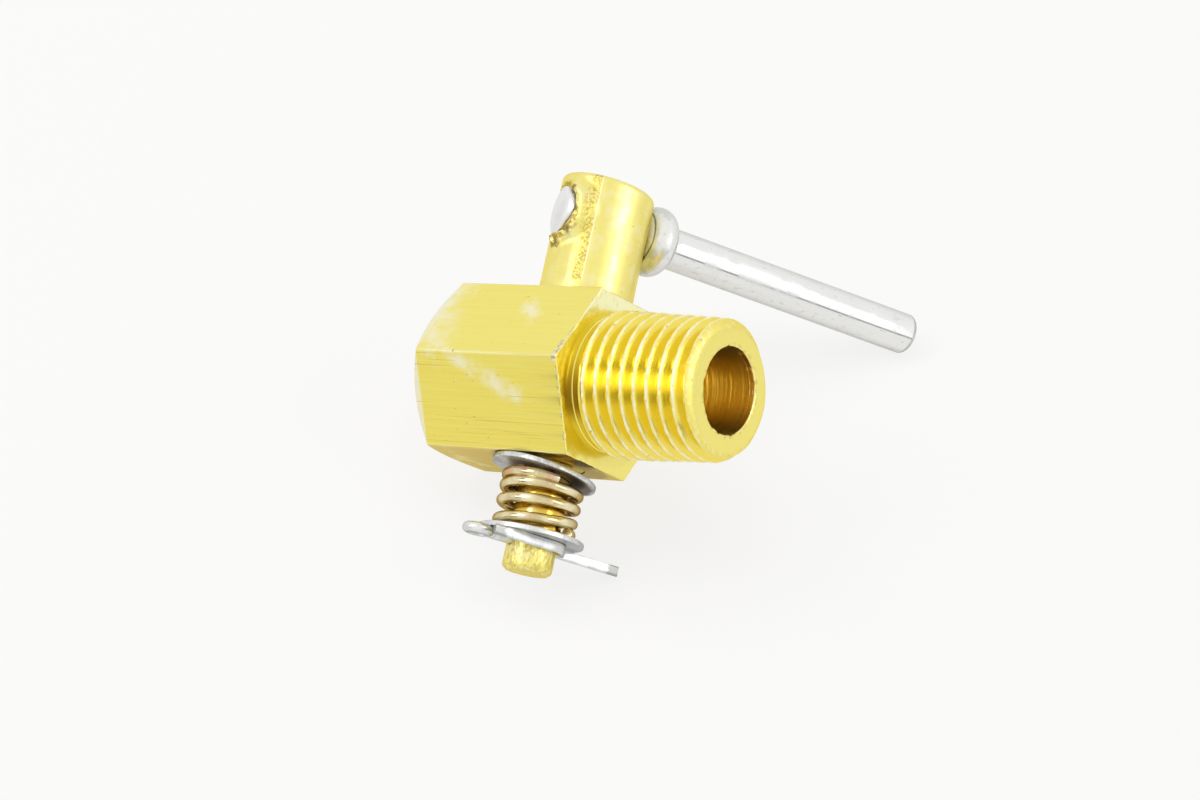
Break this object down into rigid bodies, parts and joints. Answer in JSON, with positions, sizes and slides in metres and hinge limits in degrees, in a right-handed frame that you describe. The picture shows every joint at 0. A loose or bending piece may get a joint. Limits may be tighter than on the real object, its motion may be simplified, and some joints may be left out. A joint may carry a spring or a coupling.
{
  "type": "plug drain cock",
  "caption": "Brass drain cock with a hexagonal body, male taper thread and spring-loaded taper plug turned by a zinc-plated lever rod",
  "frame": {"origin": "centre of the inlet thread's end face, on the waterway's axis", "axes": "+Z out of the inlet thread, -X along the plug's axis towards its lever head, +Y the side where the lever lies as pictured, nearly shut"},
  "size_m": [0.0374, 0.0432, 0.0304],
  "materials": {
    "valve_body": "drawn hexagon bar with a bright lacquer and fine draw lines",
    "taper_plug": "turned, ground on the taper",
    "lever": "bright zinc plate",
    "upper_washer": "mottled zinc plate",
    "spring": "yellow zinc plate on spring wire",
    "lower_washer": "mottled zinc plate",
    "split_pin": "bright zinc plate"
  },
  "bodies": {
    "body": {"valve_body": "valve_body", "upper_washer": "upper_washer", "spring": "spring"},
    "washer": {"lower_washer": "lower_washer"},
    "plug": {"taper_plug": "taper_plug", "lever": "lever", "split_pin": "split_pin"}
  },
  "joints": [
    {"name": "plug_lift", "type": "slide", "parent": "body", "child": "washer", "axis": [-1, 0, 0], "range_m": [0, 0.0012], "stiffness_N_per_m": 4000, "springref_m": -0.002, "deforming": ["spring"]},
    {"name": "plug_turn", "type": "hinge", "parent": "washer", "child": "plug", "pos_m": [0, 0, -0.01855], "axis": [1, 0, 0], "continuous": true}
  ]
}
